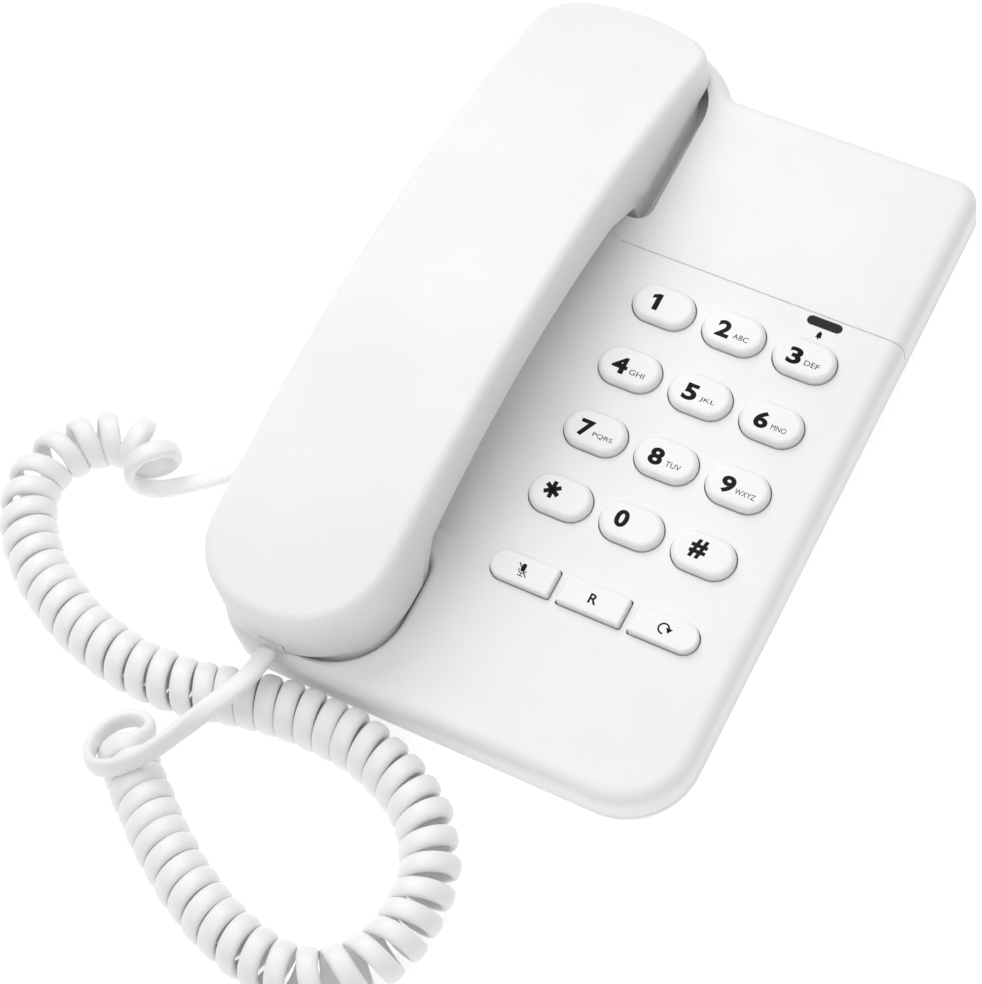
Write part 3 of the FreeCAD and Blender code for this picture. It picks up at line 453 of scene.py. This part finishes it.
# Sizes and places of prints are in millimetres, in the deck frame or from a key's middle.
KEY_PITCH = 20.0
KEY_TOP = 2.3
BAR_TOP = 2.0
KEY_ROWS = [("key_1", "key_2", "key_3"), ("key_4", "key_5", "key_6"),
            ("key_7", "key_8", "key_9"), ("key_star", "key_0", "key_hash")]
LETTERS = {"key_2": "ABC", "key_3": "DEF", "key_4": "GHI", "key_5": "JKL", "key_6": "MNO",
           "key_7": "PQRS", "key_8": "TUV", "key_9": "WXYZ"}
INK_THICK = 0.04
DIGIT_WEIGHT = 0.04
DIGIT_SIZE = (3.8, 4.9)
DIGIT_PLACE = (-2.4, -0.5)
LETTER_WEIGHT = 0.0
LETTER_WIDTH = 1.38
LETTER_HEIGHT = 1.5
LETTER_PLACE = (2.7, -1.4)
RECALL_WEIGHT = 0.02
BAR_MIDDLE = (0.5, -52.4)
BAR_PITCH = 19.8
BAR_HEIGHTS = {"key_mute": 3.6, "key_recall": 2.8, "key_redial": 3.2}
BELL_PLACE = (20.2, 38.4, 0.0)
BELL_HEIGHT = 2.5
# Flat shapes get any depth here, because each print is scaled to INK_THICK.
SIGN_DEPTH = 0.1
LETTERING_DEPTH = 0.05
ARC_STEPS = 28
DISC_STEPS = 24


def lettering(text, weight):
    """Letters as a thin flat mesh, which printed() scales and places."""
    font = bpy.data.curves.new("letters", "FONT")
    font.body = text
    font.size = 1.0
    font.offset = weight
    font.resolution_u = 6
    font.extrude = LETTERING_DEPTH
    holder = bpy.data.objects.new("letters", font)
    mesh = bpy.data.meshes.new_from_object(holder)
    bpy.data.objects.remove(holder)
    return mesh


def printed(name, mesh, width, height, centre, ink, body):
    """Scales a print to its size and lays it on the deck; with no width it keeps its shape."""
    low = [min(v.co[k] for v in mesh.vertices) for k in range(3)]
    high = [max(v.co[k] for v in mesh.vertices) for k in range(3)]
    tall = height / (high[1] - low[1])
    wide = width / (high[0] - low[0]) if width else tall
    thick = INK_THICK / (high[2] - low[2])
    for vertex in mesh.vertices:
        x, y, z = vertex.co
        vertex.co = on_deck(centre[0] + (x - (low[0] + high[0]) / 2) * wide,
                            centre[1] + (y - (low[1] + high[1]) / 2) * tall,
                            centre[2] + (z - low[2]) * thick - INK_THICK / 2)
    mesh.name = name
    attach(add_piece(name, mesh, ink), body)


def prisms(shapes):
    """A thin mesh of flat shapes, each a list of corners; both faces and the rim are closed."""
    points, faces = [], []
    for corners in shapes:
        first, count = len(points), len(corners)
        points += [(x, y, 0.0) for x, y in corners]
        points += [(x, y, SIGN_DEPTH) for x, y in corners]
        faces.append(tuple(first + k for k in reversed(range(count))))
        faces.append(tuple(first + count + k for k in range(count)))
        for k in range(count):
            after = (k + 1) % count
            faces.append((first + k, first + after, first + count + after, first + count + k))
    mesh = bpy.data.meshes.new("sign")
    mesh.from_pydata(points, [], faces)
    return mesh


def stroke(start, end, thick):
    """A straight bar between two points, as its corners."""
    run = Vector((end[0] - start[0], end[1] - start[1]))
    side = Vector((-run.y, run.x)).normalized() * thick / 2
    return [(start[0] - side.x, start[1] - side.y), (end[0] - side.x, end[1] - side.y),
            (end[0] + side.x, end[1] + side.y), (start[0] + side.x, start[1] + side.y)]


def arc(radius, start, end, thick, centre=(0.0, 0.0)):
    """A bent bar: part of a ring between two angles in degrees, counted anticlockwise."""
    turns = [math.radians(start + (end - start) * k / ARC_STEPS) for k in range(ARC_STEPS + 1)]
    outer = [(centre[0] + (radius + thick / 2) * math.cos(t),
              centre[1] + (radius + thick / 2) * math.sin(t)) for t in turns]
    inner = [(centre[0] + (radius - thick / 2) * math.cos(t),
              centre[1] + (radius - thick / 2) * math.sin(t)) for t in reversed(turns)]
    return outer + inner


def disc(radius, centre, start=0, end=360):
    """The corners of a disc, or of its rim from one angle up to another."""
    turns = [math.radians(start + (end - start) * k / DISC_STEPS) for k in range(DISC_STEPS)]
    return [(centre[0] + radius * math.cos(t), centre[1] + radius * math.sin(t)) for t in turns]


def one_sign():
    """The digit 1: a stem with a flag."""
    return prisms([[(1.0, 0.0), (2.4, 0.0), (2.4, 4.9), (1.35, 4.9), (0.0, 4.2), (0.0, 3.1),
                    (1.0, 3.6)]])


def star_sign():
    """Three bars that cross in the middle."""
    spokes = [math.radians(angle) for angle in (30, 90, 150)]
    return prisms([stroke((-math.cos(t), -math.sin(t)), (math.cos(t), math.sin(t)), 0.5)
                   for t in spokes])


def mute_sign():
    """A microphone on its stand, crossed out."""
    head = disc(0.32, (0, 0.75), 0, 187) + disc(0.32, (0, 0.15), 180, 367)
    stand = [arc(0.55, 180, 360, 0.13, (0, 0.15)), stroke((0, -0.4), (0, -0.8), 0.13),
             stroke((-0.4, -0.8), (0.4, -0.8), 0.13)]
    return prisms([head] + stand + [stroke((-0.85, 1.0), (0.85, -0.8), 0.15)])


def redial_sign():
    """A ring that ends in an arrow head."""
    return prisms([arc(0.8, -20, 280, 0.26), [(0.25, 0.3), (1.35, 0.3), (0.8, -0.55)]])


def bell_sign():
    """A bell: its dome, clapper and knob."""
    dome = [(-0.8, -0.6), (0.8, -0.6), (0.55, -0.3), (0.5, 0.35)]
    dome += disc(0.5, (0, 0.35), 7, 187)[:-1] + [(-0.5, 0.35), (-0.55, -0.3)]
    return prisms([dome, disc(0.2, (0, -0.8)), disc(0.15, (0, 0.95))])


DRAWN = {"1": one_sign, "*": star_sign}
SIGN_SIZES = {"1": (2.5, 4.9), "4": (4.3, 4.9), "7": (3.9, 4.9), "0": (3.6, 4.9),
              "#": (4.4, 5.3), "*": (4.5, 4.9)}
SIGN_PLACES = {"*": (-2.4, 0.5), "#": (-1.5, 0.4), "0": (-2.7, 0.3), "1": (-2.2, -0.1)}


def print_keys(ink):
    """The signs and letters on the keys, and the bell by the lamp."""
    for row, names in enumerate(KEY_ROWS):
        for column, name in enumerate(names):
            x, y = (column - 1) * KEY_PITCH, (1.5 - row) * KEY_PITCH
            sign = {"star": "*", "hash": "#"}.get(name[4:], name[4:])
            shape = DRAWN[sign]() if sign in DRAWN else lettering(sign, DIGIT_WEIGHT)
            width, height = SIGN_SIZES.get(sign, DIGIT_SIZE)
            across, up = SIGN_PLACES.get(sign, DIGIT_PLACE)
            printed("print_" + name, shape, width, height, (x + across, y + up, KEY_TOP), ink, name)
            if name in LETTERS:
                word = LETTERS[name]
                place = (x + LETTER_PLACE[0], y + LETTER_PLACE[1], KEY_TOP)
                printed("letters_" + name, lettering(word, LETTER_WEIGHT),
                        LETTER_WIDTH * len(word), LETTER_HEIGHT, place, ink, name)
    bars = (("key_mute", mute_sign()), ("key_recall", lettering("R", RECALL_WEIGHT)),
            ("key_redial", redial_sign()))
    for column, (name, shape) in enumerate(bars):
        place = (BAR_MIDDLE[0] + (column - 1) * BAR_PITCH, BAR_MIDDLE[1], BAR_TOP)
        printed("print_" + name, shape, None, BAR_HEIGHTS[name], place, ink, name)
    printed("print_ring_lamp", bell_sign(), None, BELL_HEIGHT, BELL_PLACE, ink, BASE)


make_camera()
light_scene()
make_floor()

ink = moulded_plastic("key_ink", (0.006, 0.006, 0.007), (0.014, 0.014, 0.014),
                      0.6, 0.8, 4000.0, 0.00001, Specular_IOR_Level=0.12)
cord_white = moulded_plastic("cord_vinyl", (0.84, 0.835, 0.845), (0.88, 0.875, 0.885),
                             0.32, 0.46, 3200.0, 0.00002)
FINISHES = {
    "housing_white": moulded_plastic(
        "shell_abs", (0.83, 0.825, 0.835), (0.865, 0.86, 0.87), 0.42, 0.58, 2600.0, 0.00004),
    "key_white": moulded_plastic(
        "key_abs", (0.85, 0.845, 0.855), (0.88, 0.875, 0.885), 0.30, 0.44, 3400.0, 0.00002),
    "cord_white": cord_white,
    "lens_smoked": moulded_plastic(
        "smoked_lens", (0.006, 0.006, 0.007), (0.025, 0.025, 0.026), 0.3, 0.45, 2200.0, 0.00006,
        Specular_IOR_Level=0.15, Transmission_Weight=0.1),
    "steel": moulded_plastic(
        "zinc_steel", (0.50, 0.50, 0.51), (0.66, 0.66, 0.65), 0.28, 0.46, 1800.0, 0.00001,
        Metallic=1.0),
    "board_green": moulded_plastic(
        "board_laminate", (0.02, 0.12, 0.05), (0.03, 0.20, 0.08), 0.30, 0.5, 900.0, 0.00003),
    "black_plastic": moulded_plastic(
        "black_nylon", (0.012, 0.012, 0.013), (0.035, 0.035, 0.037), 0.35, 0.55, 2600.0, 0.00003),
    "membrane_grey": moulded_plastic(
        "silicone_grey", (0.26, 0.26, 0.27), (0.34, 0.34, 0.35), 0.6, 0.8, 1500.0, 0.00003),
    "foot_rubber": moulded_plastic(
        "rubber", (0.03, 0.03, 0.03), (0.06, 0.06, 0.06), 0.75, 0.95, 1400.0, 0.00006),
    "plug_clear": moulded_plastic(
        "clear_polycarbonate", (0.86, 0.88, 0.88), (0.93, 0.94, 0.94), 0.06, 0.16, 1200.0, 0.00001,
        Transmission_Weight=0.85, IOR=1.58),
}
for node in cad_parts.values():
    for slot in node.material_slots:
        slot.material = FINISHES[slot.material.name]
curly_cord(cord_white)
print_keys(ink)
